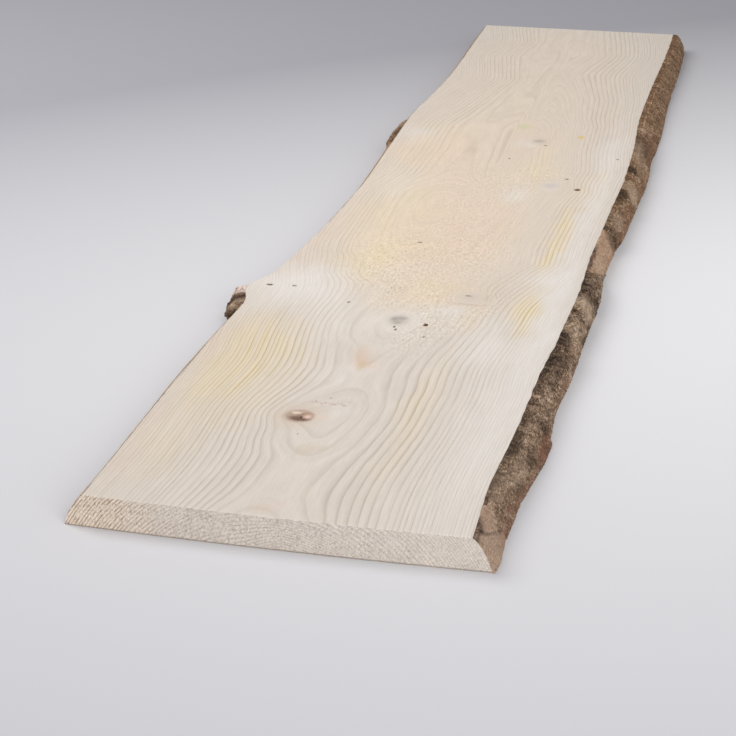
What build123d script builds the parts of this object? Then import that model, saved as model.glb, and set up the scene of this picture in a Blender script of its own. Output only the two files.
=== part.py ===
import os

from build123d import *

# A waney-edged plank: one slab sawn lengthwise out of a log, with both of its natural sides left on.
# Millimetres. X runs across the plank, Y along it from the near end, Z up. The wider sawn face is down.

# The two sawn cuts that make the slab
plank_length = 2000.0
plank_thickness = 32.0

# The natural sides, station by station: how far along from the near end, where the left and the
# right side meet the upper face, and how much further out they stand at the lower face.
side_stations = [
    (-120.0, -178.0, 179.0, 18.5, 17.0),
    (0.0, -178.0, 177.3, 18.5, 17.2),
    (50.0, -177.8, 173.8, 18.5, 18.0),
    (110.0, -178.3, 172.6, 18.5, 17.5),
    (165.0, -179.4, 174.8, 18.5, 16.5),
    (225.0, -180.3, 177.0, 18.5, 21.5),
    (290.0, -181.7, 178.2, 18.5, 17.5),
    (345.0, -181.4, 178.4, 18.5, 15.0),
    (400.0, -180.4, 180.0, 18.5, 16.5),
    (450.0, -178.8, 183.2, 18.5, 16.3),
    (490.0, -177.6, 184.0, 18.5, 16.2),
    (520.0, -181.5, 184.8, 18.5, 15.5),
    (552.0, -190.0, 185.6, 18.0, 15.0),  # the left side swells where a side branch once grew
    (588.0, -178.2, 186.8, 18.0, 14.5),
    (640.0, -168.8, 187.0, 18.5, 15.5),
    (680.0, -165.0, 186.4, 18.5, 17.5),
    (740.0, -160.2, 184.8, 18.5, 19.5),
    (800.0, -156.2, 186.0, 18.5, 20.5),
    (880.0, -154.2, 187.2, 18.5, 22.0),
    (970.0, -152.3, 188.8, 18.5, 21.0),
    (1060.0, -154.6, 191.0, 18.5, 22.0),
    (1150.0, -157.8, 189.6, 18.5, 23.0),
    (1250.0, -162.0, 187.4, 18.5, 19.0),
    (1350.0, -163.5, 181.5, 18.5, 25.5),
    (1450.0, -159.0, 179.5, 18.5, 24.0),
    (1620.0, -154.0, 180.0, 18.5, 19.0),
    (1820.0, -158.0, 183.0, 18.5, 17.0),
    (2080.0, -163.0, 180.0, 18.5, 17.0),
    (2600.0, -166.0, 178.0, 18.5, 17.0),
]
side_roundness = 3.0  # how far a side bows out beyond straight, half way down

# Bark on the right side, measured level: a thick outer layer over a thin inner one
outer_bark_width = 8.0
inner_bark_width = 2.5

# Where the outer layer has broken away: the stretch's start at the upper and the lower face, then its
# end at the upper and the lower face.
near_peel = (-60.0, -60.0, 70.0, 60.0)
middle_peel = (686.0, 776.0, 856.0, 866.0)

# Bark left on the left side, in two patches. Each lies within an oval seen from above: its middle
# along and across the plank, half of its length and half of its width. Then come how thick the bark
# is, measured level, and how high up its foot is.
collar_patch = (520.0, -170.0, 62.0, 36.0, 12.0, 10.0)
far_patch = (1255.0, -150.0, 75.0, 30.0, 6.0, 8.0)

overrun = 40.0  # how far a cutting shape runs past what it cuts
widest = max(max(station[3] - station[1], station[2] + station[4]) for station in side_stations)
reach = widest + 2 * overrun  # well past either side, from the middle


def outline_at(height, left_bark, right_bark):
    """The level outline of plank and bark at one height, long before the ends are cut."""
    drop = 1 - height / plank_thickness
    bow = side_roundness * 4 * drop * (1 - drop)
    left_points = []
    right_points = []
    for along, left, right, left_wane, right_wane in side_stations:
        left_points.append((left - left_wane * drop - bow - left_bark, along))
        right_points.append((right + right_wane * drop + bow + right_bark, along))
    first = side_stations[0][0]
    last = side_stations[-1][0]
    shares = [(station[0] - first) / (last - first) for station in side_stations]
    left_edge = Edge.make_spline(left_points, parameters=shares)
    right_edge = Edge.make_spline(right_points, parameters=shares)
    near_edge = Line(left_points[0], right_points[0])
    far_edge = Line(left_points[-1], right_points[-1])
    return Pos(0, 0, height) * make_face([near_edge, right_edge, far_edge, left_edge])


def slab(left_bark=0.0, right_bark=0.0):
    """The slab before its ends are cut, made wider by a layer of bark on either side."""
    heights = (0.0, plank_thickness / 2, plank_thickness)
    return loft([outline_at(height, left_bark, right_bark) for height in heights])


def block(x_range, y_range, z_range):
    """A box given by its lowest and highest value on each axis."""
    ranges = (x_range, y_range, z_range)
    corner = [low for low, high in ranges]
    size = [high - low for low, high in ranges]
    return Pos(*corner) * Box(*size, align=(Align.MIN, Align.MIN, Align.MIN))


def right_bark(width):
    """One layer of bark along the whole right side."""
    side = block((0, reach), (0, plank_length), (-overrun, plank_thickness + overrun))
    return (slab(right_bark=width) & side) - wood


def peeled(stretch):
    """The room that a broken-away stretch of outer bark leaves, its two ends leaning."""
    start_top, start_foot, end_top, end_foot = stretch
    low = -overrun
    high = plank_thickness + overrun
    start_lean = (start_top - start_foot) / plank_thickness
    end_lean = (end_top - end_foot) / plank_thickness
    corners = [
        (start_foot + start_lean * low, low),
        (end_foot + end_lean * low, low),
        (end_foot + end_lean * high, high),
        (start_foot + start_lean * high, high),
    ]
    return extrude(Plane.YZ * make_face(Polyline(*corners, close=True)), reach)


def left_bark(patch):
    """One patch of bark on the left side, thinning out to nothing at both of its ends."""
    along, across, half_length, half_width, width, foot = patch
    spread = Pos(across, along, foot) * Ellipse(half_width, half_length)
    return (slab(left_bark=width) & extrude(spread, plank_thickness + overrun - foot)) - wood


wood = slab() & block((-reach, reach), (0, plank_length), (-overrun, plank_thickness + overrun))
outer_bark = right_bark(outer_bark_width) - peeled(near_peel) - peeled(middle_peel)

pieces = {
    "plank": wood,
    "bark_right": outer_bark + right_bark(inner_bark_width),
    "bark_left_collar": left_bark(collar_patch),
    "bark_left_far": left_bark(far_patch),
}

# The origin is on the floor, under the middle of the whole plank
boxes = [piece.bounding_box() for piece in pieces.values()]
middle_x = (min(box.min.X for box in boxes) + max(box.max.X for box in boxes)) / 2
to_origin = Pos(-middle_x, -plank_length / 2, 0)

os.makedirs("parts", exist_ok=True)
for name, piece in pieces.items():
    placed = to_origin * piece
    export_step(placed, f"parts/{name}.step")
    print(name, len(placed.solids()), "solid", round(placed.volume), "mm3")
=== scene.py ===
import math
from functools import partial

import bmesh
import bpy
import numpy as np
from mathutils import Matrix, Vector, noise
from mathutils.bvhtree import BVHTree


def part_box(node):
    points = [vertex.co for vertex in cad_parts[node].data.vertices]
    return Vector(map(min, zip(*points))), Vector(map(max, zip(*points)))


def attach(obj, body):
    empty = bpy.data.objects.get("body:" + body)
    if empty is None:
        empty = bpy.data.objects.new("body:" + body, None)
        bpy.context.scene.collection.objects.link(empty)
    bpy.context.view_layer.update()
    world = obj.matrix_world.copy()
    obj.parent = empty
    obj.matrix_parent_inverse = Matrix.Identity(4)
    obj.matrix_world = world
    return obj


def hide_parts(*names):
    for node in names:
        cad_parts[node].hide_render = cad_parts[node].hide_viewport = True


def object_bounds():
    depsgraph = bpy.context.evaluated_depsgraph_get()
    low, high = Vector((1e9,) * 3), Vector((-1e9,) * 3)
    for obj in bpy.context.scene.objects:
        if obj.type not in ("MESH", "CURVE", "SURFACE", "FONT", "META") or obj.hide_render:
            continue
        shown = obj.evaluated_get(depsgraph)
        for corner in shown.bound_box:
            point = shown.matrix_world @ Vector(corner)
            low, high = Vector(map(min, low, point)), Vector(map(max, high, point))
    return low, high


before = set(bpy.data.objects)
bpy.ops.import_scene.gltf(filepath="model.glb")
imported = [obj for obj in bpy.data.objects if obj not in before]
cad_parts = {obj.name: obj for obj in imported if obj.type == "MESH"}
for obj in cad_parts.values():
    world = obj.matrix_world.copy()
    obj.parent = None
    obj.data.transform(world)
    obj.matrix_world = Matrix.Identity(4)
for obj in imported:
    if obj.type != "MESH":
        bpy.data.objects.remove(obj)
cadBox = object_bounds()

# A waney-edged softwood plank. Lengths in the notes and dictionaries are millimetres, measured on the
# plank itself: across from the middle of its near end, along from that end, and up from its underside.
mm = 0.001
endMiddle = 1.0  # the near end's own middle lies this far left of the line that across is measured from
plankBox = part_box("plank")
nearY = plankBox[0].y
plankLength = (plankBox[1].y - nearY) / mm
plankThickness = plankBox[1].z / mm
plankCorners = [v.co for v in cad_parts["plank"].data.vertices]
nearFoot = [co.x for co in plankCorners if max(co.y - nearY, co.z) < 0.1 * mm]
middleX = (min(nearFoot) + max(nearFoot)) / 2 + endMiddle * mm
print("plank", round(plankLength), "x", round(plankThickness), "mm, middle at x =", round(middleX / mm, 2))


def linear(hexCode):  # an sRGB hex value as the linear colour that Blender wants
    parts = [int(hexCode[i:i + 2], 16) / 255 for i in (1, 3, 5)]
    return [p / 12.92 if p <= 0.04045 else ((p + 0.055) / 1.055) ** 2.4 for p in parts] + [1.0]


# What a kind of node is set to unless a call says otherwise
product = {"operation": "MULTIPLY"}
usual = {"Mix": {"data_type": "RGBA"}, "Math": product, "VectorMath": product}


def addNode(tree, kind, inputs=None, stops=(), **settings):
    # one node with its settings, the stops of its ramp, and its inputs' links and values
    node = tree.nodes.new("ShaderNode" + kind)
    for name, value in {**usual.get(kind, {}), **settings}.items():
        setattr(node, name, value)
    for number, (at, shade) in enumerate(stops):  # the ramp's own two stops come first
        stop = node.color_ramp.elements[number] if number < 2 else node.color_ramp.elements.new(at)
        stop.position = at
        stop.color = linear(shade) if isinstance(shade, str) else (shade, shade, shade, 1)
    for key, value in (inputs or {}).items():
        shown = [socket for socket in node.inputs if socket.enabled]
        socket = shown[key] if isinstance(key, int) else next(s for s in shown if s.name == key)
        if isinstance(value, bpy.types.Node):
            value = next(s for s in value.outputs if s.enabled)
        if isinstance(value, bpy.types.NodeSocket):
            tree.links.new(value, socket)
        else:
            socket.default_value = linear(value) if isinstance(value, str) else value
    return node


def newMaterial(name):  # a material, and what adds nodes to it
    material = bpy.data.materials.new(name)
    material.use_nodes = True
    material.node_tree.nodes.clear()
    return material, partial(addNode, material.node_tree)


def finishMaterial(add, colour, roughness, height, reliefMm, specular):
    bump = add("Bump", {"Height": height, "Distance": reliefMm * mm})
    shader = add("BsdfPrincipled", {"Base Color": colour, "Roughness": roughness, "Normal": bump})
    shader.inputs["Specular IOR Level"].default_value = specular
    add("OutputMaterial", {"Surface": shader})


def addPlace(add):  # where a point is on the plank, in millimetres
    place = add("TexCoord").outputs["Object"]
    moved = add("VectorMath", {0: place, 1: (middleX, nearY, 0)}, operation="SUBTRACT")
    return add("VectorMath", {0: moved, "Scale": 1 / mm}, operation="SCALE")


def roughly(across, along, height, size, seed=0.0):  # smooth noise about -1 to 1, features of one size in mm
    return noise.noise(Vector((across / size, along / size, height / size + seed)))


def between(stations, at, column=1):  # a value given station by station, at the places in between
    return np.interp(at, [s[0] for s in stations], [s[column] for s in stations])


def nearness(x, y, halfX, halfY):  # 1 at the middle of an oval spot, fading to nothing round it
    return np.exp(-((x / halfX) ** 2) - (y / halfY) ** 2)


# The yearly rings. On either side of the pale middle, the first ring line's place across the plank and
# half of the width of the pale zone there, station by station along the plank.
rings = {
    "firstRadius": 145.0,  # of that first line, from the heart
    "yearsInside": 3,  # grown before what the lists of ends start with
    # a wandering first line is followed this near to it, and less and less over the next stretch outwards,
    # where a line blurred by the last value takes its place
    "followed": 10, "calmer": 55, "calmBlur": 70,
    "middleBlend": 40,  # the growth of the two sides meets over this width
    "left": [
        (0, -52, 45), (20, -44, 35), (40, -38, 31), (60, -35, 29), (100, -33, 28), (120, -34, 29),
        (150, -46, 44), (180, -50, 49), (205, -58, 60), (220, -59, 61), (250, -50, 47), (280, -39, 37),
        (295, -34, 31), (320, -32, 31), (336, -32, 34), (380, -40, 37), (400, -43, 35), (430, -53, 48),
        (460, -57, 49), (500, -56, 47), (540, -51, 42), (590, -49, 34), (620, -74, 44), (680, -82, 44),
        (700, -95, 53), (740, -101, 59), (860, -106, 71), (960, -107, 74), (1040, -79, 41), (1160, -75, 35),
        (1300, -79, 32), (1420, -60, 44), (1600, -38, 52), (1760, -62, 40), (1880, -48, 58),
        (2000, -66, 44),
    ],
    "right": [
        (0, 34, 40), (20, 26, 31), (40, 20, 26), (60, 19, 26), (90, 22, 29), (120, 26, 33), (150, 35, 44),
        (190, 41, 48), (220, 44, 51), (250, 44, 51), (280, 40, 42), (295, 38, 34), (318, 35, 32),
        (336, 33, 34), (375, 35, 38), (410, 41, 40), (440, 50, 48), (470, 57, 58), (500, 60, 55),
        (540, 61, 56), (565, 58, 51), (600, 76, 59), (640, 93, 74), (680, 106, 86), (700, 118, 96),
        (760, 114, 92), (840, 117, 100), (940, 121, 104), (1000, 129, 104), (1040, 124, 98),
        (1100, 129, 98), (1200, 118, 98), (1340, 111, 92), (1380, 102, 83), (1500, 92, 70), (1660, 60, 52),
        (1800, 84, 62), (1900, 70, 54), (2000, 58, 60),
    ],
    # where each year's growth ends, from the heart
    "leftEnds": [
        137, 141, 145, 148, 150.5, 153.5, 157, 160, 163.5, 167.5, 170.5, 173.5, 176, 179, 183, 185.5, 188,
        191, 194, 197.5, 200.5, 203.5, 206, 209, 212, 214.5, 217, 220, 223, 226, 229, 232, 235, 238, 241,
        244,
    ],
    "rightEnds": [
        138, 140.5, 145, 149.5, 153.5, 158, 162.5, 167, 171.5, 176.5, 180.5, 183.5, 186.5, 190.5, 194, 197,
        199.5, 202, 205, 207.5, 210, 212.5, 214.5, 217, 219.5, 222, 224.5, 227, 229.5, 232, 235, 238, 241,
        244,
    ],
    # where a branch lifts the growth round it: across, along, how far it reaches both ways, how many rings
    "lifts": [
        (-34, 213, 17, 19, -0.5), (72, 574, 24, 30, -2.6), (98, 1022, 26, 34, -2.4),
        (52, 1240, 20, 28, -1.6),
    ],
}


def smoothAlong(stations, column, along, blur=9):  # a measured line, rounded over twice the blur
    spots = np.arange(-2 * blur, plankLength + 2 * blur)
    kernel = np.hanning(2 * blur + 3)[1:-1]
    line = np.pad(between(stations, spots, column), blur, mode="edge")
    return np.interp(along, spots, np.convolve(line, kernel / kernel.sum(), "valid"))


def ringCount(across, along, height):  # how many years' growth lie inside each point
    shape = []
    for name in ("left", "right"):
        outward = np.abs(across - smoothAlong(rings[name], 1, along))
        calm = np.clip((outward - rings["followed"]) / rings["calmer"], 0, 1)
        for column in (1, 2):  # the first line's place, then half of the pale zone's width
            followed = smoothAlong(rings[name], column, along)
            blurred = smoothAlong(rings[name], column, along, rings["calmBlur"])
            shape.append(followed * (1 - calm) + blurred * calm)
    leftLine, leftHalf, rightLine, rightHalf = shape
    blend = rings["middleBlend"]
    side = np.clip((across - (leftLine + rightLine) / 2 + blend / 2) / blend, 0, 1)
    side = side * side * (3 - 2 * side)
    middle = (leftLine + leftHalf) * (1 - side) + (rightLine - rightHalf) * side
    half = leftHalf * (1 - side) + rightHalf * side
    depth = np.sqrt(rings["firstRadius"] ** 2 - half**2)
    radius = np.hypot(across - middle, depth + height - plankThickness)
    years = []
    for name in ("leftEnds", "rightEnds"):
        ends = rings[name]
        inner = (radius - ends[0]) / (ends[1] - ends[0]) * (radius < ends[0])
        years.append(rings["yearsInside"] + np.interp(radius, ends, range(len(ends))) + inner)
    count = years[0] * (1 - side) + years[1] * side
    for x, y, reachX, reachY, lift in rings["lifts"]:
        count += lift * nearness(across - x, along - y, reachX, reachY)
    return count


# Soft areas of colour on the upper face: across, along, half width, half length, strength
stains = {
    "yellow": [
        (-112, 339, 42, 90, 0.7), (-150, 294, 20, 100, 0.45), (-135, 429, 38, 55, 0.45),
        (-108, 244, 35, 60, 0.3), (-140, 114, 28, 80, 0.3), (75, 254, 14, 150, 0.35),
        (-68, 674, 30, 75, 0.75), (141, 550, 17, 66, 1.3), (140, 749, 13, 80, 1), (138, 864, 12, 70, 0.7),
        (85, 524, 14, 45, 0.4), (-85, 904, 55, 150, 0.4), (70, 1089, 26, 55, 0.5), (160, 1089, 9, 45, 0.5),
        (66, 1194, 12, 45, 0.4), (15, 1309, 16, 28, 0.4), (-110, 1294, 30, 30, 0.3),
        (20, 594, 45, 40, 0.35), (145, 1004, 22, 60, 0.3), (-28, 745, 40, 45, 0.3),
    ],
    "pink": [
        (-172, 374, 12, 60, 0.5), (-170, 144, 9, 130, 0.4), (-8, 24, 18, 12, 0.5), (-3, 352, 12, 22, 0.7),
        (5, 744, 60, 110, 0.35), (-155, 654, 14, 60, 0.4), (30, 834, 55, 90, 0.35),
        (-20, 1044, 50, 200, 0.25), (62, 864, 18, 60, 0.3), (55, 1254, 45, 70, 0.3),
        (150, 1334, 40, 60, 0.25), (72, 575, 16, 22, 0.35), (-150, 784, 14, 70, 0.3),
    ],
    "white": [
        (150, 184, 36, 230, 0.8), (148, 650, 22, 45, 0.7), (114, 428, 30, 60, 0.8),
        (-150, 564, 46, 55, 0.9), (-95, 544, 45, 60, 0.6), (-62, 459, 24, 60, 0.5), (4, 486, 26, 30, 0.8),
        (56, 524, 24, 20, 0.8), (168, 524, 20, 220, 0.9), (-20, 319, 26, 28, 0.4), (6, 232, 14, 20, 0.4),
        (165, 904, 16, 220, 0.7), (160, 1204, 22, 120, 0.6), (60, 979, 16, 34, 0.6),
        (-120, 619, 35, 30, 0.6), (-110, 989, 30, 60, 0.3), (35, 1219, 20, 20, 0.5),
        (-130, 1244, 30, 40, 0.5),
    ],
    "warm": [
        (0, 1024, 150, 330, 0.75), (-60, 764, 90, 150, 0.6), (-120, 1164, 35, 70, 0.7),
        (20, 574, 60, 70, 0.6), (0, 1504, 160, 250, 0.5), (0, 1854, 160, 200, 0.4),
        (-75, 1194, 45, 110, 0.5), (30, 760, 70, 130, 0.6),
    ],
    "torn": [
        (32, 440, 26, 45, 0.9), (45, 500, 40, 36, 0.9), (0, 570, 50, 48, 1), (-50, 640, 45, 50, 0.8),
        (30, 700, 70, 90, 0.9), (-65, 730, 45, 80, 0.7), (95, 545, 20, 50, 0.6), (20, 850, 60, 90, 0.55),
        (-60, 1084, 60, 60, 0.5), (30, 1034, 50, 50, 0.6), (80, 1084, 40, 60, 0.6), (0, 954, 70, 80, 0.4),
    ],
}


def stainShade(name, across, along, driftX, driftY):
    total = np.zeros(len(across))
    for x, y, halfWide, halfLong, strength in stains[name]:
        total += strength * nearness(across + driftX - x, along + driftY - y, halfWide, halfLong)
    return np.clip(total, 0, 1)


# Small marks on the upper face, laid on in this order: across, along, half width, half length, how much of
# it is soft edge, colour and strength
marks = {
    "branchStub": [
        (-34, 213, 26, 34, 0.8, "#CDBDAB", 0.5), (-35, 213, 18.5, 18, 0.3, "#CDB9A8", 0.6),
        (-34, 213, 16, 16, 0.3, "#B9A492", 0.7), (-33, 213, 13.5, 13.5, 0.35, "#927766", 0.85),
        (-41, 214, 6, 8, 0.6, "#B7A08D", 0.8), (-31, 206, 11, 4.5, 0.6, "#6B5141", 0.85),
        (-36, 209, 7, 4.5, 0.6, "#735746", 0.7), (-25, 215, 6, 8, 0.6, "#BF9F8A", 0.85),
        (-24.5, 213, 3.4, 4.5, 0.7, "#E5C9B8", 0.8), (-38, 220, 5.5, 3.5, 0.5, "#E6D2C2", 0.85),
        (-33, 223, 6, 2.2, 0.5, "#D9BFA8", 0.6), (-31, 211, 1.3, 2.6, 0.4, "#22150D", 0.9),
        (-12, 213, 6, 9, 0.8, "#DCC8B9", 0.5),
    ],
    "greyKnot": [
        (4, 484, 22, 32, 0.8, "#E6DCD0", 0.8), (5, 487, 14, 20, 0.85, "#B4ABA2", 0.7),
        (0, 490, 5, 7, 0.9, "#9A928B", 0.6), (8, 493, 6, 6, 0.9, "#9A928B", 0.5),
        (5, 480, 5, 6, 0.9, "#9A928B", 0.45), (5, 466, 1.3, 2.8, 0.4, "#4A3D34", 0.9),
        (8, 459, 1.5, 3.6, 0.4, "#5A4B3F", 0.8),
    ],
    "pinkKnot": [
        (71, 574, 22, 27, 0.7, "#DDD0C3", 0.75), (70, 576, 14, 16, 0.9, "#CDBFB2", 0.5),
        (70, 552, 17, 4, 0.8, "#C9B6A2", 0.5), (88, 578, 3, 12, 0.8, "#C9B6A2", 0.5),
        (67, 580, 4.5, 2.4, 0.7, "#8C7360", 0.85),
    ],
    "farKnots": [
        (97, 1022, 17, 26, 0.8, "#E4DBD0", 0.8), (97, 1024, 13, 14, 0.9, "#CDBFB8", 0.6),
        (50, 1239, 14, 20, 0.8, "#D2C6B8", 0.7), (50, 1240, 8, 9, 0.9, "#B3A697", 0.6),
        (107, 1274, 6, 9, 0.8, "#E2C476", 0.85), (15, 1314, 12, 18, 0.8, "#D3CFA9", 0.6),
    ],
    "triangles": [
        (-13, 386, 12, 18, 0.9, "#DCC2AE", 0.4), (-8, 366, 8, 16, 0.7, "#DABEA9", 0.55),
        (-4, 350, 5.5, 13, 0.7, "#D0BA97", 0.6), (-9, 141, 9, 14, 0.4, "#CDBFAC", 0.5),
        (4, 146, 9, 9, 0.5, "#CDBFAC", 0.45),
    ],
    "pits": [
        (176, 130, 1.6, 90, 0.8, "#F2EAE0", 0.6), (180, 320, 1.6, 70, 0.8, "#F2EAE0", 0.6),
        (37, 480, 2.7, 4.4, 0.3, "#6B4A38", 1), (135, 1014, 4.4, 6, 0.35, "#7A6350", 1),
        (-165, 564, 4, 3, 0.4, "#5B4634", 0.9), (-136, 567, 3, 2.2, 0.4, "#6A5340", 0.8),
        (115, 1059, 3, 3.5, 0.5, "#8A6F58", 0.8), (-26, 752, 3.6, 2.6, 0.5, "#8B7058", 0.8),
        (-62, 529, 2, 2.4, 0.4, "#5F4E40", 0.9), (22, 1141, 2.2, 3, 0.5, "#7A634F", 0.8),
        (62, 1219, 2.2, 3, 0.5, "#7A634F", 0.8), (172, 1171, 2.2, 3, 0.5, "#7A634F", 0.7),
        (-24, 172, 1.3, 2, 0.5, "#8A7260", 0.5), (-14, 262, 1.3, 2.4, 0.5, "#8E6E58", 0.5),
        (42, 444, 1.6, 3, 0.5, "#7C6148", 0.8), (-183, 264, 2.6, 8, 0.5, "#3F2E22", 0.95),
        (-182, 234, 2.4, 6, 0.5, "#4A382B", 0.9), (-182, 216, 2.4, 4, 0.5, "#4A382B", 0.9),
        (-179, 14, 2.2, 22, 0.6, "#5E4836", 0.9), (-181, 120, 1.8, 40, 0.7, "#7A634E", 0.7),
        (-181, 330, 1.8, 60, 0.7, "#7A634E", 0.7),
    ],
}


# The row of tiny pits beyond the dark knot
marks["pitRow"] = []
for step in range(11):
    across = -30 + 3.3 * step
    along = 249 + 2 * math.sin(1.7 * step)
    bold = 0.45 + 0.35 * math.sin(2.1 * step)
    marks["pitRow"].append((across, along, 1.0 + bold, 2.2, 0.7, "#B9968A", 0.3 + bold / 2))


def addMarks(add, place, colour):  # lays the small marks over a colour
    # their outlines wander by up to 2 mm, over about 3 mm
    wobble = add("TexNoise", {"Vector": place, "Scale": 0.35, "Detail": 2.0}).outputs["Color"]
    wobble = add("VectorMath", {0: wobble, 1: (0.5, 0.5, 0.5)}, operation="SUBTRACT")
    swayed = add("VectorMath", {0: wobble, 1: (4.0, 4.0, 0.0), 2: place}, operation="MULTIPLY_ADD")
    for across, along, halfWide, halfLong, soft, hexCode, strength in sum(marks.values(), []):
        scale = (1 / halfWide, 1 / halfLong, 0)
        near = add("VectorMath", {0: swayed, 1: (across, along, 0)}, operation="SUBTRACT")
        near = add("VectorMath", {0: near, 1: scale})
        away = add("VectorMath", {0: near}, operation="LENGTH")
        amount = add(
            "MapRange", {0: away, 1: 1 + soft / 2, 2: 1 - soft, 4: strength},
            interpolation_type="SMOOTHSTEP")
        colour = add("Mix", {0: amount, "A": colour, "B": hexCode})
    return colour


# Fine rings round the knots: across, along, spacing, how far they reach, strength
knotRings = [
    (-34, 213, 3, 34, 0.45), (71, 574, 5.2, 62, 0.35), (4, 484, 6, 34, 0.12), (97, 1022, 5, 44, 0.3)]


faceLook = {
    "paleWood": ("#D8CDC1", "#DDD3C9"),
    # the colour over each kind of stain, and how much of it at most
    "tints": {
        "warm": ("#E2D0BB", 1.0), "yellow": ("#EBD8AE", 0.66), "pink": ("#E2C8B7", 0.7),
        "white": ("#E6DFD8", 0.88),
    },
    "lateWood": ("#AE9C88", "#B5914F"),  # plain, and in the yellow stains
    "lateAmount": (0.62, 1.0),
    # how dark a year's growth is, from its start to its end
    "lateSteps": [
        (0, 0.32), (1, 0.55), (0.05, 0.06), (0.12, 0), (0.5, 0.03), (0.74, 0.3), (0.9, 0.85),
        (0.96, 1)],
    "yearStrength": (0.62, 1.0),  # the faintest and the plainest year
    "linesKept": {"torn": 0.35, "warm": 0.62, "white": 0.45},
    "knotRing": "#BFA287",
    # painted tan shade and cream highlights on the torn tufts: from which height of the tufts to which, how
    # much, colour
    "tufts": [(0.45, 0.35, 0.55, "#B99873"), (0.53, 0.66, 0.8, "#F6ECDA")],
    "paintedLightAlong": (0.94, 1.045),  # painted light: the face is darkened at the near end and brightened from 900 mm on, as the light fell
    "relief": 0.3,
}


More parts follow.
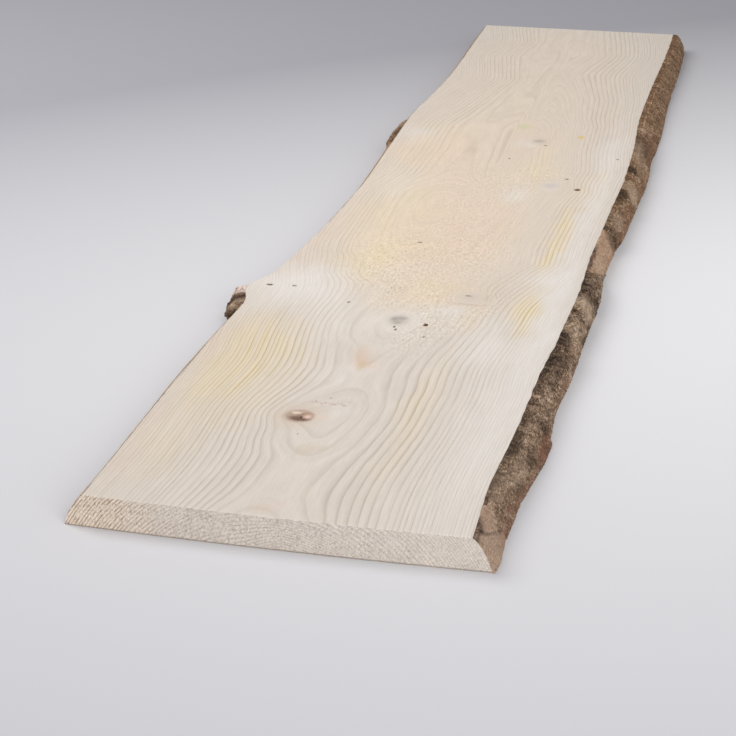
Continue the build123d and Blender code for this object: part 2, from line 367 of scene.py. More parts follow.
def buildSawnWood():
    # Spruce, rough sawn on a band mill: a pale matt face with thin tan late-wood lines and a furry grain
    look = faceLook
    material, add = newMaterial("spruceSawnFace")
    place = addPlace(add)
    axes = add("SeparateXYZ", {0: place})
    count = add("Attribute", attribute_name="years").outputs["Fac"]
    shadeOf = {name: add("Attribute", attribute_name=name).outputs["Fac"] for name in stains}

    # the growth wanders by a fraction of a year, over 40 mm across and 170 mm along
    sway = add("VectorMath", {0: place, 1: (0.025, 0.006, 0.03)})
    sway = add("TexNoise", {"Vector": sway, "Scale": 1.0, "Detail": 1.0})
    sway = add("Math", {0: sway, 1: 0.5}, operation="SUBTRACT")
    count = add("Math", {0: sway, 1: 0.35, 2: count}, operation="MULTIPLY_ADD")
    yearShare = add("Math", {0: count}, operation="FRACT")
    yearNumber = add("Math", {0: count}, operation="FLOOR")

    # what runs with the grain is drawn in years across and millimetres along
    withGrain = add("CombineXYZ", {0: count, 1: axes.outputs["Y"], 2: axes.outputs["Z"]})
    grain = {}
    for name, source, scale, detail, rough in (
            ("fibres", withGrain, (4.5, 0.022, 0.8), 3.0, 0.6),  # 0.8 x 45 mm, wider than real to show
            ("plain", place, (0.7, 0.03, 0.8), 3.0, 0.6),  # 1.4 x 33 mm, straight along the plank
            ("bands", withGrain, (0.9, 0.009, 0.0), 3.0, 0.5),  # years that took more colour, 110 mm
            ("clouds", place, (0.02, 0.009, 0.02), 3.0, 0.5),  # 50 x 110 mm
            ("tufts", place, (0.42, 0.12, 0.5), 3.0, 0.75),  # torn grain, 2.4 x 8 mm
            ("fur", place, (0.9, 0.3, 1.1), 2.0, 0.7)):  # 1.1 x 3.3 mm
        scaled = add("VectorMath", {0: source, 1: scale})
        inputs = {"Vector": scaled, "Scale": 1.0, "Detail": detail, "Roughness": rough}
        grain[name] = add("TexNoise", inputs)

    late = add("ValToRGB", {0: yearShare}, look["lateSteps"])
    # by the left edge a fainter line shows inside every year
    second = add("Math", {0: count, 1: 0.45}, operation="ADD")
    second = add("Math", {0: second}, operation="FRACT")
    second = add("MapRange", {0: second, 1: 0.6, 2: 0.95})
    byLeft = add("MapRange", {0: axes.outputs["X"], 1: -85.0, 2: -130.0, 4: 0.3})
    second = add("Math", {0: second, 1: byLeft})
    line = add("Math", {0: late, 1: second}, operation="MAXIMUM")
    # the lines fade in some years, by the heart, in paler bands, by the sides and in most stains
    chance = add("TexWhiteNoise", {"W": yearNumber}, noise_dimensions="1D")
    faintest, plainest = look["yearStrength"]
    fromMiddle = add("Math", {0: axes.outputs["X"]}, operation="ABSOLUTE")
    fades = [
        add("MapRange", {0: chance, 3: faintest, 4: plainest}),
        add("MapRange", {0: count, 1: 4.05, 2: 4.7, 3: 0.38, 4: 0.9}),
        add("MapRange", {0: grain["bands"], 1: 0.36, 2: 0.64, 3: 0.65, 4: 1.12}),
        add("MapRange", {0: fromMiddle, 1: 110.0, 2: 185.0, 3: 1.0, 4: 0.85}),
    ]
    for name, kept in look["linesKept"].items():
        fades.append(add("MapRange", {0: shadeOf[name], 3: 1.0, 4: kept}))
    for fade in fades:
        line = add("Math", {0: line, 1: fade})

    darker, lighter = look["paleWood"]
    colour = add("Mix", {0: grain["clouds"], "A": darker, "B": lighter})
    streaky = add("MapRange", {0: grain["bands"], 1: 0.35, 2: 0.65, 3: 0.55, 4: 1.3})
    for name, (hexCode, most) in look["tints"].items():
        amount = add("Math", {0: shadeOf[name], 1: most})
        if name in ("yellow", "pink"):
            amount = add("Math", {0: amount, 1: streaky}, use_clamp=True)
        colour = add("Mix", {0: amount, "A": colour, "B": hexCode})
    plainLate, yellowLate = look["lateWood"]
    yellow = shadeOf["yellow"]
    lateWood = add("Mix", {0: yellow, "A": plainLate, "B": yellowLate})
    plainAmount, yellowAmount = look["lateAmount"]
    amount = add("MapRange", {0: yellow, 3: plainAmount, 4: yellowAmount})
    amount = add("Math", {0: line, 1: amount}, use_clamp=True)
    colour = add("Mix", {0: amount, "A": colour, "B": lateWood})
    for across, along, spacing, reach, strength in knotRings:
        near = add("VectorMath", {0: place, 1: (across, along, 0)}, operation="SUBTRACT")
        near = add("VectorMath", {0: near, 1: (1.0, 0.8, 0.0)})
        away = add("VectorMath", {0: near}, operation="LENGTH")
        turn = add("Math", {0: away, 1: 1 / spacing})
        turn = add("Math", {0: grain["fibres"], 1: 0.7, 2: turn}, operation="MULTIPLY_ADD")
        turn = add("Math", {0: turn}, operation="FRACT")
        turn = add("MapRange", {0: turn, 1: 0.55, 2: 0.95})
        fall = add("MapRange", {0: away, 1: reach, 2: 0.3 * reach, 4: strength})
        amount = add("Math", {0: turn, 1: fall})
        colour = add("Mix", {0: amount, "A": colour, "B": look["knotRing"]})

    # painted light along the plank: darker towards the near end, brighter further on; the grain's tones
    # follow
    paintedShadeNear, paintedLightFar = look["paintedLightAlong"]
    tone = add("MapRange", {0: axes.outputs["Y"], 1: 0.0, 2: 900.0, 3: paintedShadeNear, 4: paintedLightFar})
    for name, dark, light in (("fibres", 0.945, 1.05), ("plain", 0.965, 1.035), ("fur", 0.975, 1.025)):
        part = add("MapRange", {0: grain[name], 1: 0.3, 2: 0.7, 3: dark, 4: light})
        tone = add("Math", {0: tone, 1: part})
    colour = add("VectorMath", {0: colour, "Scale": tone}, operation="SCALE")
    # painted shade on the tufts' low parts and painted highlights on their tips, over their bumps
    for start, end, most, hexCode in look["tufts"]:
        amount = add("MapRange", {0: grain["tufts"], 1: start, 2: end, 4: most})
        amount = add("Math", {0: amount, 1: shadeOf["torn"]}, use_clamp=True)
        colour = add("Mix", {0: amount, "A": colour, "B": hexCode})
    colour = addMarks(add, place, colour)

    height = add("Math", {0: grain["fibres"], 1: 0.6, 2: line}, operation="MULTIPLY_ADD")
    height = add("Math", {0: grain["fur"], 1: 0.4, 2: height}, operation="MULTIPLY_ADD")
    tornHeight = add("Math", {0: grain["tufts"], 1: shadeOf["torn"]})
    height = add("Math", {0: tornHeight, 1: 1.6, 2: height}, operation="MULTIPLY_ADD")
    roughness = add("MapRange", {0: grain["fibres"], 1: 0.2, 2: 0.8, 3: 0.72, 4: 0.86})
    finishMaterial(add, colour, roughness, height, look["relief"], 0.3)
    return material


endLook = {
    "sawnEnd": ("#F0E0CE", "#DDD4CA"),  # at the left, and from a third of the way on
    "lateWood": ("#9C7C5E", "#B59E86"),
    "lateStrength": (0.95, 0.5),
    "lateSteps": [(0.0, 0.5), (1.0, 0.8), (0.1, 0.1), (0.5, 0.0), (0.75, 0.45), (0.92, 1.0)],
    "footShade": "#8F7B69",  # painted shade along the lower edge, where the end meets the floor
    # painted shade in the hollows of the sawn fur
    "pits": "#A3876C",
    "relief": 0.9,
}


def buildEndGrain():
    # Spruce cut across by a coarse saw: furry with clear rings, tan on the left and greyer on the right
    look = endLook
    material, add = newMaterial("spruceSawnEnd")
    place = addPlace(add)
    axes = add("SeparateXYZ", {0: place})
    yearShare = add("Attribute", attribute_name="years").outputs["Fac"]
    yearShare = add("Math", {0: yearShare}, operation="FRACT")
    late = add("ValToRGB", {0: yearShare}, look["lateSteps"])
    # sawn fibres lean with the rings and stand up as a 1.5 mm fur, coarser than the real one so as to show
    patterns = []
    for size, detail, rough in (((1.5, 1.5, 2.8), 4.0, 0.8), ((1.8, 3.3, 8), 3.0, 0.65)):
        leaning = add(
            "Mapping", {"Vector": place, "Rotation": (0, 0.55, 0), "Scale": size}, vector_type="TEXTURE")
        patterns.append(
            add("TexNoise", {"Vector": leaning, "Scale": 1.0, "Detail": detail, "Roughness": rough}))
    fur, slant = patterns
    blotch = add("TexNoise", {"Vector": place, "Scale": 0.06, "Detail": 2.0})

    toRight = add("MapRange", {0: axes.outputs["X"], 1: -190.0, 2: -60.0}, interpolation_type="SMOOTHSTEP")
    base, lineColour = [
        add("Mix", {0: toRight, "A": left, "B": right})
        for left, right in (look["sawnEnd"], look["lateWood"])]
    leftStrength, rightStrength = look["lateStrength"]
    strength = add("MapRange", {0: toRight, 3: leftStrength, 4: rightStrength})
    line = add("Math", {0: late, 1: strength})
    ragged = add("MapRange", {0: slant, 1: 0.4, 2: 0.58, 3: 0.15, 4: 1.25})
    line = add("Math", {0: line, 1: ragged}, use_clamp=True)
    colour = add("Mix", {0: line, "A": base, "B": lineColour})
    # painted shade darkens the lowest 1.5 mm of the end
    paintedFootShade = add("MapRange", {0: axes.outputs["Z"], 1: 1.5, 2: 0.5, 4: 0.7})
    # painted shade in the hollows between the fibres, fainter to the right
    paintedFurShade = add("MapRange", {0: fur, 1: 0.48, 2: 0.34, 4: 0.6})
    smoother = add("MapRange", {0: axes.outputs["X"], 1: -20.0, 2: 110.0, 3: 1.0, 4: 0.4})
    paintedFurShade = add("Math", {0: paintedFurShade, 1: smoother})
    for amount, hexCode in ((paintedFootShade, look["footShade"]), (paintedFurShade, look["pits"])):
        colour = add("Mix", {0: amount, "A": colour, "B": hexCode})
    # painted light and shade on the fur: darker where it is low, lighter where it stands up
    tone = add("MapRange", {0: fur, 1: 0.34, 2: 0.66, 3: 0.84, 4: 1.16})
    for pattern, dark, light in ((blotch, 0.96, 1.04), (slant, 0.92, 1.07)):
        part = add("MapRange", {0: pattern, 1: 0.3, 2: 0.7, 3: dark, 4: light})
        tone = add("Math", {0: tone, 1: part})
    colour = add("VectorMath", {0: colour, "Scale": tone}, operation="SCALE")
    height = add("Math", {0: line, 1: -0.5, 2: fur}, operation="MULTIPLY_ADD")
    finishMaterial(add, colour, 0.88, height, look["relief"], 0.2)
    return material


waneLook = {
    "wood": "#B79A78",
    "threads": "#7E5F45",
    "crumbs": "#523A2A",
    "relief": 0.6,
}


def buildWane():
    # The log's own surface, with the bark pulled off: smooth tan wood with brown threads of inner bark on it
    look = waneLook
    material, add = newMaterial("spruceWaneUnderBark")
    place = addPlace(add)
    # threads 4 mm wide and 50 mm long, with crumbs of about 5 mm
    threads = add("VectorMath", {0: place, 1: (0.25, 0.02, 0.25)})
    threads = add("TexNoise", {"Vector": threads, "Scale": 1.0, "Detail": 4.0, "Roughness": 0.6})
    crumbs = add("TexNoise", {"Vector": place, "Scale": 0.22, "Detail": 4.0, "Roughness": 0.7})
    brown = add("MapRange", {0: threads, 1: 0.42, 2: 0.68})
    dark = add("MapRange", {0: crumbs, 1: 0.54, 2: 0.62})
    colour = look["wood"]
    for amount, hexCode in ((brown, look["threads"]), (dark, look["crumbs"])):
        colour = add("Mix", {0: amount, "A": colour, "B": hexCode})
    finishMaterial(add, colour, 0.7, threads, look["relief"], 0.3)
    return material


# Patches on the bark: along, height, half length, half height, strength
barkPatches = {
    "pale": [
        (596, 20, 22, 12, 1), (520, 18, 34, 12, 0.45), (1225, 30, 40, 7, 0.6), (915, 22, 22, 8, 0.7),
        (1053, 18, 24, 12, 0.9), (750, 14, 26, 9, 0.8), (1340, 29, 9, 4, 1), (115, 27, 26, 6, 0.35),
        (1180, 20, 40, 10, 0.3), (420, 4, 40, 6, 0.25), (160, 20, 26, 7, 0.3),
    ],
    "dark": [
        (18, 34, 22, 5, 1), (470, 34, 26, 8, 0.9), (440, 26, 24, 10, 0.7), (385, 26, 30, 9, 0.6),
        (276, 15, 9, 6, 1), (640, 26, 26, 12, 0.6), (645, 6, 20, 10, 0.6), (1128, 34, 16, 7, 1),
        (1005, 32, 26, 5, 0.9), (735, 34, 55, 4.5, 1), (200, 34, 34, 4, 0.8), (265, 34, 24, 4, 0.5),
        (120, 35, 24, 4, 0.6), (348, 33, 24, 4, 0.6), (560, 5, 30, 5, 0.6), (205, 16, 10, 6, 0.7),
        (1270, 26, 50, 16, 0.45), (860, 14, 18, 12, 0.8), (148, 12, 10, 6, 0.5),
    ],
    "red": [
        (250, 5, 34, 8, 1), (160, 4, 34, 5, 0.6), (90, 6, 40, 8, 0.6), (400, 4, 40, 6, 0.5),
        (940, 10, 60, 12, 0.5), (460, 20, 20, 8, 0.5), (1120, 6, 60, 8, 0.4), (1300, 10, 70, 16, 0.4),
        (40, 30, 20, 6, 0.3),
    ],
    "fresh": [],
    "freshLeft": [(550, 26, 11, 26, 1.3)],
    "paleLeft": [(508, 20, 8, 12, 0.9), (532, 26, 5, 8, 0.6), (1290, 24, 30, 10, 0.4)],
    "darkLeft": [(523, 20, 9, 20, 0.9), (499, 14, 7, 16, 0.9), (1240, 20, 30, 20, 0.6)],
    "redLeft": [(525, 20, 60, 30, 0.7), (1260, 10, 40, 12, 0.4)],
}

# a fine crack across the bare stretch by the near end
barkPatches["dark"] += [(4 * step, 36 - 1.75 * step, 2, 1.0, 0.75) for step in range(1, 15)]

# Lumps and hollows of the bark: along, height, half length, half height, how far out
barkLumps = [
    (268, 2, 16, 6, 2.6), (276, 15, 7, 5, -3.5), (845, 12, 16, 12, 2.6), (205, 16, 8, 5, -2),
    (14, 33, 16, 5, 1.8), (470, 33, 18, 6, 1.6), (645, 28, 16, 8, 1.2), (1128, 32, 14, 6, 2),
    (1005, 31, 16, 5, 1.6), (1210, 5, 30, 8, 2.4), (560, 12, 30, 12, 1.4), (330, 20, 30, 14, -1.4),
    (60, 12, 14, 9, 1),
]


barkColours = {
    # from the cracks to the palest flakes; the cracks' near black is partly painted shade
    "scales": [
        (0, "#20160F"), (1, "#E2CDB6"), (0.2, "#3F2E22"), (0.38, "#6F5746"), (0.55, "#94795F"),
        (0.75, "#B79C82")],
    # a change of colour along the trunk: where it starts and is whole, how much, and the colour
    "scalesAlong": [(420.0, 200.0, 0.38, "#7A6553"), (800.0, 1000.0, 0.25, "#B08258")],
    "innerBark": ("#AA856A", "#DBB99C"),
    "innerAlong": (200.0, 120.0, 0.65, "#AD9682"),
    "threads": "#6E4D38",
    # over both, each patch's colour and how much of it at most
    "patches": [
        ("red", "#86523E", 0.5), ("pale", "#D6BDA2", 0.6), ("dark", "#241A12", 0.8),
        ("fresh", "#F0D9CB", 0.9)],
    "relief": 1.6,
}


def buildBarkMaterial():
    # Dry spruce bark: matt and scaly, grey-brown on the scales and nearly black between them, that partly
    # painted shade in the cracks; tan where the outer bark has flaked off and the inner bark shows
    look = barkColours
    material, add = newMaterial("spruceBarkDry")
    place = addPlace(add)
    alongTrunk = add("SeparateXYZ", {0: place}).outputs["Y"]
    shadeOf = {}
    for name in ("relief", "bare", "topCut", "red", "pale", "dark", "fresh"):
        shadeOf[name] = add("Attribute", attribute_name=name).outputs["Fac"]
    broad = add("TexNoise", {"Vector": place, "Scale": 0.03, "Detail": 3.0})
    # strands 4 mm wide and 14 mm long that lean downwards, crumbs of 3.5 x 9 mm and grit of 2 x 4 mm
    patterns = []
    for turn, size, rough in ((-0.5, (4, 14, 4), 0.75), (-0.3, (3.5, 9, 3.5), 0.8)):
        leaning = add(
            "Mapping", {"Vector": place, "Rotation": (turn, 0, 0), "Scale": size}, vector_type="TEXTURE")
        patterns.append(
            add("TexNoise", {"Vector": leaning, "Scale": 1.0, "Detail": 5.0, "Roughness": rough}))
    strands, crumbs = patterns
    gritPlace = add("VectorMath", {0: place, 1: (0.6, 0.24, 0.6)})
    grit = add("TexNoise", {"Vector": gritPlace, "Scale": 1.0, "Detail": 2.0, "Roughness": 0.8})
    # painted shade and light: the tone follows the relief and the bump's patterns, so cracks and low parts
    # are darker and raised parts paler
    tone = shadeOf["relief"]
    topCut = shadeOf["topCut"]
    for part, weight in ((strands, 1.3), (crumbs, 1.2), (grit, 2.1), (broad, 0.6), (topCut, -0.2)):
        tone = add("Math", {0: part, 1: weight, 2: tone}, operation="MULTIPLY_ADD")
    tone = add("MapRange", {0: tone, 1: 2.22, 2: 3.42})
    scales = add("ValToRGB", {0: tone}, look["scales"])
    for start, whole, most, hexCode in look["scalesAlong"]:
        amount = add("MapRange", {0: alongTrunk, 1: start, 2: whole, 4: most})
        scales = add("Mix", {0: amount, "A": scales, "B": hexCode})
    flecks = add("TexNoise", {"Vector": gritPlace, "Scale": 1.7, "Detail": 1.0, "Roughness": 0.8})
    flecks = add("MapRange", {0: flecks, 1: 0.34, 2: 0.66, 3: 0.68, 4: 1.36})
    scales = add("VectorMath", {0: scales, "Scale": flecks}, operation="SCALE")

    # the inner bark is smoother, with brown threads
    darker, lighter = look["innerBark"]
    share = add("MapRange", {0: crumbs, 1: 0.36, 2: 0.62})
    inner = add("Mix", {0: share, "A": darker, "B": lighter})
    start, whole, most, hexCode = look["innerAlong"]
    atEnd = add("MapRange", {0: alongTrunk, 1: start, 2: whole, 4: most})
    threads = add("MapRange", {0: strands, 1: 0.42, 2: 0.32, 4: 0.8})
    for amount, above in ((atEnd, hexCode), (threads, look["threads"])):
        inner = add("Mix", {0: amount, "A": inner, "B": above})
    innerTone = add("MapRange", {0: grit, 1: 0.3, 2: 0.7, 3: 0.6, 4: 1.26})
    inner = add("VectorMath", {0: inner, "Scale": innerTone}, operation="SCALE")

    colour = add("Mix", {0: shadeOf["bare"], "A": scales, "B": inner})
    ragged = add("MapRange", {0: crumbs, 1: 0.35, 2: 0.6, 3: 0.2, 4: 1.3})
    for name, hexCode, most in look["patches"]:
        amount = add("Math", {0: shadeOf[name], 1: most})
        amount = add("Math", {0: amount, 1: ragged}, use_clamp=True)
        colour = add("Mix", {0: amount, "A": colour, "B": hexCode})
    height = add("Math", {0: strands, 1: 0.4, 2: crumbs}, operation="MULTIPLY_ADD")
    height = add("Math", {0: grit, 1: 0.8, 2: height}, operation="MULTIPLY_ADD")
    finishMaterial(add, colour, 0.9, height, look["relief"], 0.2)
    return material


def surfaceOf(node):  # a CAD node's surface, to be measured with rays
    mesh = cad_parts[node].data
    return BVHTree.FromPolygons([v.co for v in mesh.vertices], [p.vertices[:] for p in mesh.polygons])


def sideOf(surface, side, along, height):  # how far out a surface stands at one place, or None
    y = nearY + min(max(along, 0.05), plankLength - 0.05) * mm
    z = min(max(height, 0.03), plankThickness - 0.03) * mm
    hit = surface.ray_cast(Vector((side, y, z)), Vector((-side, 0, 0)))[0]
    return None if hit is None else (hit.x - middleX) / mm


# The right side is a little wider and narrower than the plain solid: along, how far out at its foot
footShift = [
    (0, 1), (20, 4), (60, 3), (120, 2), (300, 1.5), (400, 0), (500, -2), (640, -2.5), (700, -4),
    (850, -6.5), (1100, -6), (1180, -2), (1260, -1), (1360, 0), (1420, 2), (1500, 3), (2000, 0),
]


def rightShift(along, height):  # how far out from the solid the right side stands here
    share = height / plankThickness
    top = (1.5 + 0.9 * roughly(0, along, 0, 20, 4)) * min(1.0, along / 40)
    return top * share**2 + between(footShift, along) * (1 - share)


def toMetres(across, along, height):
    return Vector((middleX + across * mm, nearY + along * mm, height * mm))


def stationsAlong(steps, fineStep, fineSpots):  # closer at the ends and at what needs detail
    places = [0.0]
    while places[-1] < plankLength:
        here = places[-1]
        closest = min(abs(here - spot) - reach for spot, reach in fineSpots)
        coarser = min(between(steps, here), fineStep + closest * 0.25)
        places.append(here + (fineStep if closest < 0 else coarser))
    places[-1] = plankLength
    if places[-1] - places[-2] < 0.5:
        places.pop(-2)
    return places


def addObject(name, data):
    thing = bpy.data.objects.new(name, data)
    bpy.context.scene.collection.objects.link(thing)
    return thing


def paintShade(mesh, name, values):
    shade = mesh.attributes.new(name, "FLOAT", "POINT")
    shade.data.foreach_set("value", np.asarray(values, dtype=np.float32))


plankLook = {
    "acrossSteps": 166,
    "downSteps": 13,
    "alongSteps": [(0, 4.5), (700, 5.5), (1300, 8.0), (2000, 8.0)],
    "alongFineStep": 1.6,
    "sawWave": 0.18,  # how far the sawn faces wander
    "endFur": 0.8,  # how rough the cross-cut ends are
    "endBow": 3.6,  # the saw cut the near end a little round, so its corners lie back
    "endBowReach": 120.0,
    "arrisWear": 0.8,  # how ragged the upper edges are
    "nearWear": 2.2,  # times as ragged at the near end
    "holeRim": 1.35,  # where a hole starts and how long its slope is, in its own radius
    "holeSlope": 0.6,
}

# Holes in the upper face: across, along, radius and depth
holes = [(37, 479, 2.2, 2.6), (135, 1014, 2.8, 2.4), (-31, 211, 1.6, 2.0)]


def buildPlank():
    look = plankLook
    plank = surfaceOf("plank")
    spots = [(0, 8), (plankLength, 8)] + [(along, 7) for _, along, _, _ in holes]
    along = stationsAlong(look["alongSteps"], look["alongFineStep"], spots)
    nx, ny, nz = look["acrossSteps"], len(along) - 1, look["downSteps"]
    heights = [plankThickness * k / nz for k in range(nz + 1)]
    left = [[sideOf(plank, -1, y, z) for z in heights] for y in along]
    right = [[sideOf(plank, 1, y, z) + rightShift(y, z) for z in heights] for y in along]
    points, places, lookUp = [], [], {}

    def corner(i, j, k):  # the grid's vertex, made once
        key = (i, j, k)
        if key in lookUp:
            return lookUp[key]
        z = heights[k]
        x = left[j][k] + (right[j][k] - left[j][k]) * i / nx
        y = along[j]
        onSide = i in (0, nx)
        onEnd = j in (0, ny)
        onTop = k == nz
        places.append((x, y, z, onTop))
        if onTop:
            z -= look["sawWave"] * (0.5 + 0.5 * roughly(x, y * 0.3, 0, 24))
            for holeX, holeY, radius, depth in holes:
                inside = radius * look["holeRim"] - math.hypot(x - holeX, y - holeY)
                z -= depth * min(1.0, max(0.0, inside / (radius * look["holeSlope"])))
        if onTop and (onSide or onEnd):
            wear = look["arrisWear"] * (look["nearWear"] if j == 0 else 1.0)
            z -= wear * abs(0.25 + roughly(x, y, 0, 4.0, 11) * 0.9)
        if onEnd:
            fur = 0.5 + 0.45 * roughly(x, 0, z, 1.7) + 0.4 * roughly(x, 5, z, 5.0)
            y += (1 if j == 0 else -1) * look["endFur"] * max(fur, 0.0)
        y += look["endBow"] * (x / 190) ** 2 * max(0.0, 1 - y / look["endBowReach"])
        if onSide:
            x += (1 if i == 0 else -1) * 0.5 * (0.6 + 0.6 * roughly(0, y, z, 9.0, 5 + i))
        lookUp[key] = len(points)
        points.append(toMetres(x, y, z))
        return lookUp[key]

    faces, slots = [], []

    def addFace(slot, *keys):
        faces.append([corner(*key) for key in keys])
        slots.append(slot)

    for j in range(ny):
        for i in range(nx):
            addFace(0, (i, j, nz), (i + 1, j, nz), (i + 1, j + 1, nz), (i, j + 1, nz))
        for k in range(nz):
            addFace(2, (0, j, k), (0, j, k + 1), (0, j + 1, k + 1), (0, j + 1, k))
            addFace(2, (nx, j, k), (nx, j + 1, k), (nx, j + 1, k + 1), (nx, j, k + 1))
    for i in range(nx):
        for k in range(nz):
            addFace(1, (i, 0, k), (i + 1, 0, k), (i + 1, 0, k + 1), (i, 0, k + 1))
            addFace(1, (i, ny, k), (i, ny, k + 1), (i + 1, ny, k + 1), (i + 1, ny, k))
    for j in range(ny):  # the underside, one long face to a station
        near = [(i, j, 0) for i in (range(nx + 1) if j == 0 else (0, nx))]
        far = [(i, j + 1, 0) for i in (range(nx + 1) if j == ny - 1 else (0, nx))]
        addFace(0, *near[::-1], *far)

    mesh = bpy.data.meshes.new("plankTimber")
    mesh.from_pydata(points, [], faces)
    mesh.polygons.foreach_set("material_index", slots)
    mesh.polygons.foreach_set("use_smooth", [True] * len(faces))
    x, y, z, onTop = np.array(places).T
    paintShade(mesh, "years", ringCount(x, y, z))
    # the stains' outlines drift by up to 9 mm across and 22 mm along
    driftX = 9 * np.array([roughly(a, b, 0, 38, 3.0) for a, b, _, _ in places])
    driftY = 22 * np.array([roughly(a, b, 0, 45, 7.0) for a, b, _, _ in places])
    for name in stains:
        shown = stainShade(name, x, y, driftX, driftY)
        hidden = 0.25 * stainShade(name, -x, y + 90, driftX, driftY)  # mirrored and weaker elsewhere
        paintShade(mesh, name, np.where(onTop > 0, shown, hidden))
    mesh.set_sharp_from_angle(angle=math.radians(38))
    timber = addObject("plankTimber", mesh)
    for material in (buildSawnWood(), buildEndGrain(), buildWane()):
        mesh.materials.append(material)
    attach(timber, "root")
    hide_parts("plank")
    print("plank", len(mesh.vertices), "vertices", len(mesh.polygons), "faces")
    return timber


# Each piece of bark: its name and its solid's, its side, how thick the solid is, and from where to where
barkPieces = [
    ("barkAlongRight", "bark_right", 1, 10.5, (-50, 5000)),
    ("barkAtCollar", "bark_left_collar", -1, 12.0, (499, 557)),
    ("barkFarLeft", "bark_left_far", -1, 6.0, (-50, 5000)),
]

barkLook = {
    "alongStep": 1.5,
    "topSteps": 4,
    "downSteps": 22,
    "plateLong": 13.0,  # scales of bark along the trunk
    "plateWide": 4.5,
    "plateLift": 0.9,
    "lean": 24,  # degrees that they slope down away from the near end
    "crackDepth": 0.6,
    "swell": 1.1,
    "grit": 0.6,
    "sunk": 0.9,  # how far the scales' own level lies under the solid's
    "least": 0.25,  # no bark where the solid stands out less than this
    "intoWood": 0.6,  # how far the hidden back lies inside the wood
    "leftRelief": 1.7,  # times as rough on the left side
    "edgeRag": 2.2,  # how ragged the outer bark's borders are
    "farRag": (300, 2.2),  # from here on, and times as ragged
    # outer bark less thick than this share of the whole counts as broken away, on the right and on the left
    "bareShare": (0.62, 0.15),
    "bareRelief": 0.3,
    # the outer bark of the right side is thin by the near peel, and at its foot by the middle peel
    "nearThin": [(55, 0.3), (150, 1.0)],
    "middlePeel": (776, 862),
    "footThin": 5.0,
    "footThinReach": 60,
    "patchEdge": (2.2, 1.6),  # where a patch ends, and over how much it fades: both squares of its radius
}

# How far the outer bark's border by the near peel is shifted along, by its height, and up to where
nearPeelReach = 120
nearPeelShift = [(0, 4), (9, 1), (14, -14), (18, -8), (24, 5), (29, 11), (32, -5)]


def barkRelief(along, down, side):  # how far the bark stands out here, mm, and the same as a tone that paints shade into the cracks
    look = barkLook
    turn = math.radians(look["lean"])
    length = along * math.cos(turn) + down * math.sin(turn)
    width = down * math.cos(turn) - along * math.sin(turn)
    u = length / look["plateLong"] + 0.5 * noise.noise(Vector((along / 16, down / 6, side * 9.1)))
    v = width / look["plateWide"] + 0.4 * noise.noise(Vector((along / 14, down / 5, side * 4.7 + 5)))
    distances, centres = noise.voronoi(Vector((u, v, side * 3.3)))
    plate = noise.cell_vector(centres[0] * 7.31)[0] - 0.5
    crack = min(1.0, (distances[1] - distances[0]) / 0.22)
    swell = noise.noise(Vector((along / 38, down / 30, side * 2.2)))
    lump = noise.noise(Vector((length / 22, width / 8, side * 6.2)))
    grit = noise.noise(Vector((along / 5.0, down / 2.4, side)))
    out = look["plateLift"] * (plate * crack + lump) - look["crackDepth"] * (1 - crack)
    out += look["swell"] * swell + look["grit"] * grit
    return out, 0.3 + 0.2 * plate + 0.2 * (crack - 1) + 0.2 * lump + 0.1 * grit


def barkPatch(name, along, height, side):
    driftY = 7 * roughly(0, along, height, 11, 3.0) + 3 * roughly(0, along, height, 4, 5.0)
    driftZ = 3.5 * roughly(0, along, height, 9, 8.0)
    end, fade = barkLook["patchEdge"]
    best = 0.0
    for y, z, halfLong, halfHigh, strength in barkPatches[name if side > 0 else name + "Left"]:
        ragged = min(1.0, halfHigh / 5)
        square = ((along + ragged * driftY - y) / halfLong) ** 2
        square += ((height + ragged * driftZ - z) / halfHigh) ** 2
        if square < end:
            best = max(best, strength * min(1.0, (end - square) / fade))
    return best


def barkThickness(along, height, side, reach, fullWidth, bare):  # reach is how far the solid stands out
    look = barkLook
    relief = barkRelief(along, plankThickness - height, side)[0]
    relief *= look["bareRelief"] if bare else min(1.0, reach / fullWidth)
    if side < 0:
        return reach - look["sunk"] + relief * look["leftRelief"]
    thickness = reach - look["sunk"] + relief
    for lumpY, lumpZ, halfLong, halfHigh, rise in barkLumps:
        square = ((along - lumpY) / halfLong) ** 2 + ((height - lumpZ) / halfHigh) ** 2
        if square < 4:
            thickness += rise * math.exp(-square * 1.6)
    if not bare:
        thickness *= between(look["nearThin"], along)
        start, end = look["middlePeel"]
        gap = max(start - along, (along - end) * 1.8, 0.0) / look["footThinReach"]  # shorter past it
        thickness -= look["footThin"] * (1 - height / plankThickness) * math.exp(-(gap**2))
    return thickness


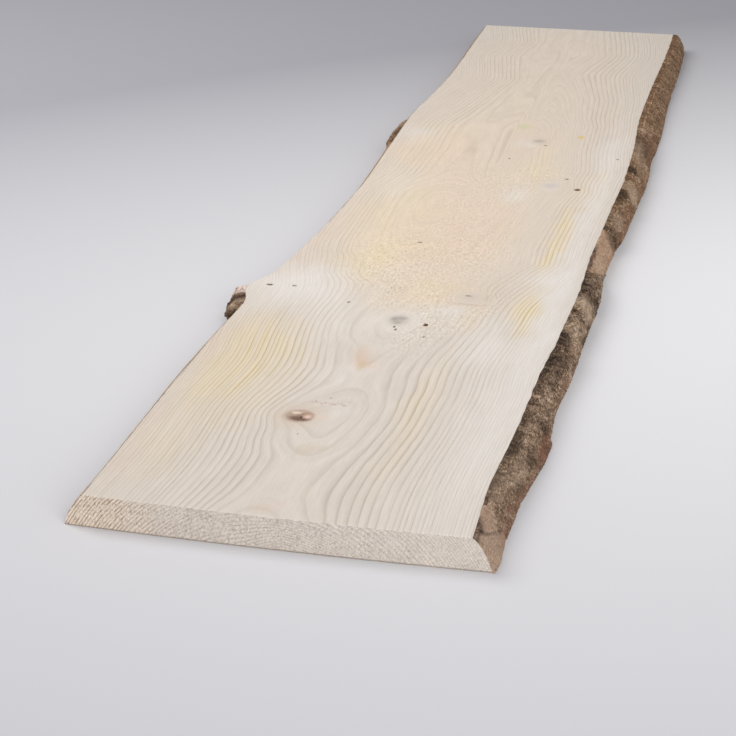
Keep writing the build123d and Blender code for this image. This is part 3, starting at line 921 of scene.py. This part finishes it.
def buildBark(name, node, side, fullWidth, span, material):
    look = barkLook
    onRight = side > 0
    bark = surfaceOf(node)
    wood = surfaceOf("plank")
    low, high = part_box(node)
    first = max((low.y - nearY) / mm - 1.0, 0.0)
    last = min((high.y - nearY) / mm + 1.0, plankLength)
    count = round((last - first) / look["alongStep"])
    along = [first + (last - first) * j / count for j in range(count + 1)]
    nt, nz = look["topSteps"], look["downSteps"]
    furthest = (cadBox[1 if onRight else 0].x - middleX) / mm
    bareWidth = fullWidth * look["bareShare"][0 if onRight else 1]
    farFrom, farRag = look["farRag"]
    points, faces = [], []
    patchNames = ["pale", "dark", "red", "fresh"]
    shades = {key: [] for key in ["relief", "topCut", "bare"] + patchNames}
    outer, inner, thick = {}, {}, {}

    def addPoint(x, y, z, relief, topCut, bare):
        points.append(toMetres(x, y, z))
        painted = [barkPatch(key, y, z, side) for key in patchNames]
        for values, value in zip(shades.values(), [relief, topCut, bare] + painted):
            values.append(value)
        return len(points) - 1

    for j, y in enumerate(along):
        backY = y + plankLook["endBow"] * max(0.0, 1 - y / plankLook["endBowReach"])
        rag = look["edgeRag"] * (1.0 if y < farFrom else farRag)
        for k in range(nz + 1):
            z = plankThickness * (1 - k / nz)
            woodX = sideOf(wood, side, y, z) + (rightShift(y, z) if onRight else 0.0)
            innerX = woodX - side * look["intoWood"]
            shift = between(nearPeelShift, z) if onRight and y < nearPeelReach else 0.0
            ragY = y - shift + 2.2 * rag * roughly(0, y, z, 9.0, 2.0) + rag * roughly(0, y, z, 3.0, 4.0)
            barkX = sideOf(bark, side, min(max(ragY, first + 0.1), last - 0.1), z)
            reach = 0.0 if barkX is None else (barkX - sideOf(wood, side, ragY, z)) * side
            bare = 1.0 if look["least"] < reach < bareWidth else 0.0
            # a piece's two ends are ragged too
            endRag = 5 * roughly(0, y, z, 6, 12)
            inSpan = min(1.0, (y - span[0] + endRag) / 7, (span[1] - y + endRag) / 5)
            x, thickness = innerX, 0.0
            if reach > look["least"] and inSpan > 0:
                thickness = barkThickness(y, z, side, reach, fullWidth, bare) * math.sqrt(inSpan)
                thickness = max(0.3, thickness)
                x = woodX + side * thickness
            x = min(x, furthest) if onRight else max(x, furthest)
            tone = barkRelief(y, plankThickness - z, side)[1]
            drop = 0.0
            if k == 0:  # the strip that the saw cut through, from the wood out to the bark's own face
                drop = 0.35 * thickness * (0.5 + abs(roughly(0, y, 0, 4.0, 9)))
                for t in range(nt):
                    sag = 0.9 * abs(roughly(t * 2.5, y, 0, 3.0, 9)) + 0.25 * t * thickness / 8 if t else 0.0
                    sawnX = innerX + (x - innerX) * t / nt
                    sawnTone = tone + 0.3 * roughly(t * 3, y, 0, 2.5, 1)
                    outer[j, t] = addPoint(sawnX, backY, z - sag, sawnTone, 1.0, bare)
                    thick[j, t] = thickness
            outer[j, nt + k] = addPoint(x, backY, z - drop, tone, 0.0, bare)
            inner[j, k] = addPoint(innerX, backY, z, 0.1, 0.0, bare)
            thick[j, nt + k] = thickness

    def isCovered(j, k):  # does this square of the grid have bark at a corner
        return max(thick[j, k], thick[j + 1, k], thick[j, k + 1], thick[j + 1, k + 1]) > 0

    def addFace(*corners):
        faces.append(corners if onRight else corners[::-1])

    for j in range(count):
        for k in range(nt + nz):
            if isCovered(j, k):
                addFace(outer[j, k], outer[j, k + 1], outer[j + 1, k + 1], outer[j + 1, k])
        for k in range(nz):
            if isCovered(j, nt + k):
                addFace(inner[j, k], inner[j + 1, k], inner[j + 1, k + 1], inner[j, k + 1])
        if max(thick[j, nt + nz], thick[j + 1, nt + nz]) > 0:
            addFace(outer[j, nt + nz], inner[j, nz], inner[j + 1, nz], outer[j + 1, nt + nz])
    for j, turn in ((0, 1), (count, -1)):
        for k in range(nz):
            if max(thick[j, nt + k], thick[j, nt + k + 1]) > 0:
                addFace(*[outer[j, nt + k], inner[j, k], inner[j, k + 1], outer[j, nt + k + 1]][::turn])
        if thick[j, nt] > 0:
            addFace(*[outer[j, t] for t in range(nt + 1)][::turn])
    mesh = bpy.data.meshes.new(name)
    mesh.from_pydata(points, [], faces)
    for key, values in shades.items():
        paintShade(mesh, key, values)
    shape = bmesh.new()
    shape.from_mesh(mesh)
    bmesh.ops.remove_doubles(shape, verts=shape.verts, dist=0.01 * mm)
    loose = [v for v in shape.verts if not v.link_faces]
    bmesh.ops.delete(shape, geom=loose, context="VERTS")
    shape.to_mesh(mesh)
    shape.free()
    mesh.polygons.foreach_set("use_smooth", [True] * len(mesh.polygons))
    mesh.set_sharp_from_angle(angle=math.radians(50))
    mesh.materials.append(material)
    piece = addObject(name, mesh)
    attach(piece, "root")
    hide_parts(node)
    print(name, len(mesh.vertices), "vertices", len(mesh.polygons), "faces")
    return piece


floorLook = {
    # a painted oval of light on the paper: its middle, its half length and half width, and its turn in
    # degrees
    "paintedLightMiddle": (920, 1080, 0),
    "reach": (2030, 1030, 1),
    "turn": 36,
    "shares": (0.28, 1.36),  # where the painted shade starts to grow grey and where it is all grey
    "pale": "#EEEDEF",
    "paintedShadeGrey": "#A9A8AE",
    "fade": (2500.0, 6500.0),  # where the camera starts to see it fade into the air, and all faded
}
air = {"colour": "#F5F5F6", "strength": 0.9}  # as the camera sees it


def buildFloor():
    # pale matt studio paper with painted light: brightest beyond the plank on its right, painted shade
    # greyer towards the far left
    material, add = newMaterial("studioPaperPaintedLight")
    look = floorLook
    place = addPlace(add)
    turn = (0, 0, math.radians(look["turn"]))
    near = add("Mapping", {
        "Vector": place, "Location": look["paintedLightMiddle"], "Rotation": turn, "Scale": look["reach"],
    }, vector_type="TEXTURE")
    away = add("VectorMath", {0: near}, operation="LENGTH")
    start, end = look["shares"]
    share = add("MapRange", {0: away, 1: start, 2: end})
    colour = add("Mix", {0: share, "A": look["pale"], "B": look["paintedShadeGrey"]})
    shader = add("BsdfPrincipled", {"Base Color": colour, "Roughness": 0.9})
    away = add("VectorMath", {0: place}, operation="LENGTH")
    start, end = look["fade"]
    faded = add("MapRange", {0: away, 1: start, 2: end}, interpolation_type="SMOOTHSTEP")
    isCamera = add("LightPath").outputs["Is Camera Ray"]
    faded = add("Math", {0: faded, 1: isCamera})
    glow = add("Emission", {"Color": air["colour"], "Strength": air["strength"]})
    shader = add("MixShader", {0: faded, 1: shader, 2: glow})
    add("OutputMaterial", {"Surface": shader})
    bpy.ops.mesh.primitive_plane_add(size=40, location=(0, 0, -0.0002))
    floor = bpy.context.object
    floor.name = "studioFloor"
    floor.data.materials.append(material)


camera = {
    "across": 411.8, "along": -1372.9, "height": 773.9,
    "downTilt": 22.78, "leftTurn": 13.35,  # degrees
    "lens": 90.355,
}


def buildCamera():
    data = bpy.data.cameras.new("photographersCamera")
    data.lens = camera["lens"]
    data.sensor_width = 36
    data.clip_end = 100
    holder = addObject("photographersCamera", data)
    holder.location = toMetres(camera["across"], camera["along"], camera["height"])
    holder.rotation_euler = (math.radians(90 - camera["downTilt"]), 0, math.radians(camera["leftTurn"]))
    bpy.context.scene.camera = holder


lamps = {
    "key": {"place": (-2.0, -0.1, 2.4), "size": 1.9, "power": 52},
    "front": {"place": (1.5, -2.8, 1.4), "size": 2.2, "power": 49},
    "skyStrength": 0.5,
}


def buildLight():
    for name in ("key", "front"):
        values = lamps[name]
        data = bpy.data.lights.new(name + "Softbox", "AREA")
        data.shape = "DISK"
        data.size = values["size"]
        data.energy = values["power"]
        lamp = addObject(name + "Softbox", data)
        lamp.location = values["place"]
        lamp.rotation_euler = (-lamp.location).to_track_quat("-Z", "Y").to_euler()
    world = bpy.data.worlds.new("studioAir")
    world.use_nodes = True
    world.node_tree.nodes.clear()
    add = partial(addNode, world.node_tree)
    isCamera = add("LightPath").outputs["Is Camera Ray"]
    strength = add("MapRange", {0: isCamera, 3: lamps["skyStrength"], 4: air["strength"]})
    sky = add("Background", {"Color": air["colour"], "Strength": strength})
    add("OutputWorld", {"Surface": sky})
    bpy.context.scene.world = world


bpy.context.scene.view_settings.view_transform = "Standard"
buildCamera()
buildLight()
buildFloor()
buildPlank()
barkMaterial = buildBarkMaterial()
for values in barkPieces:
    buildBark(*values, barkMaterial)
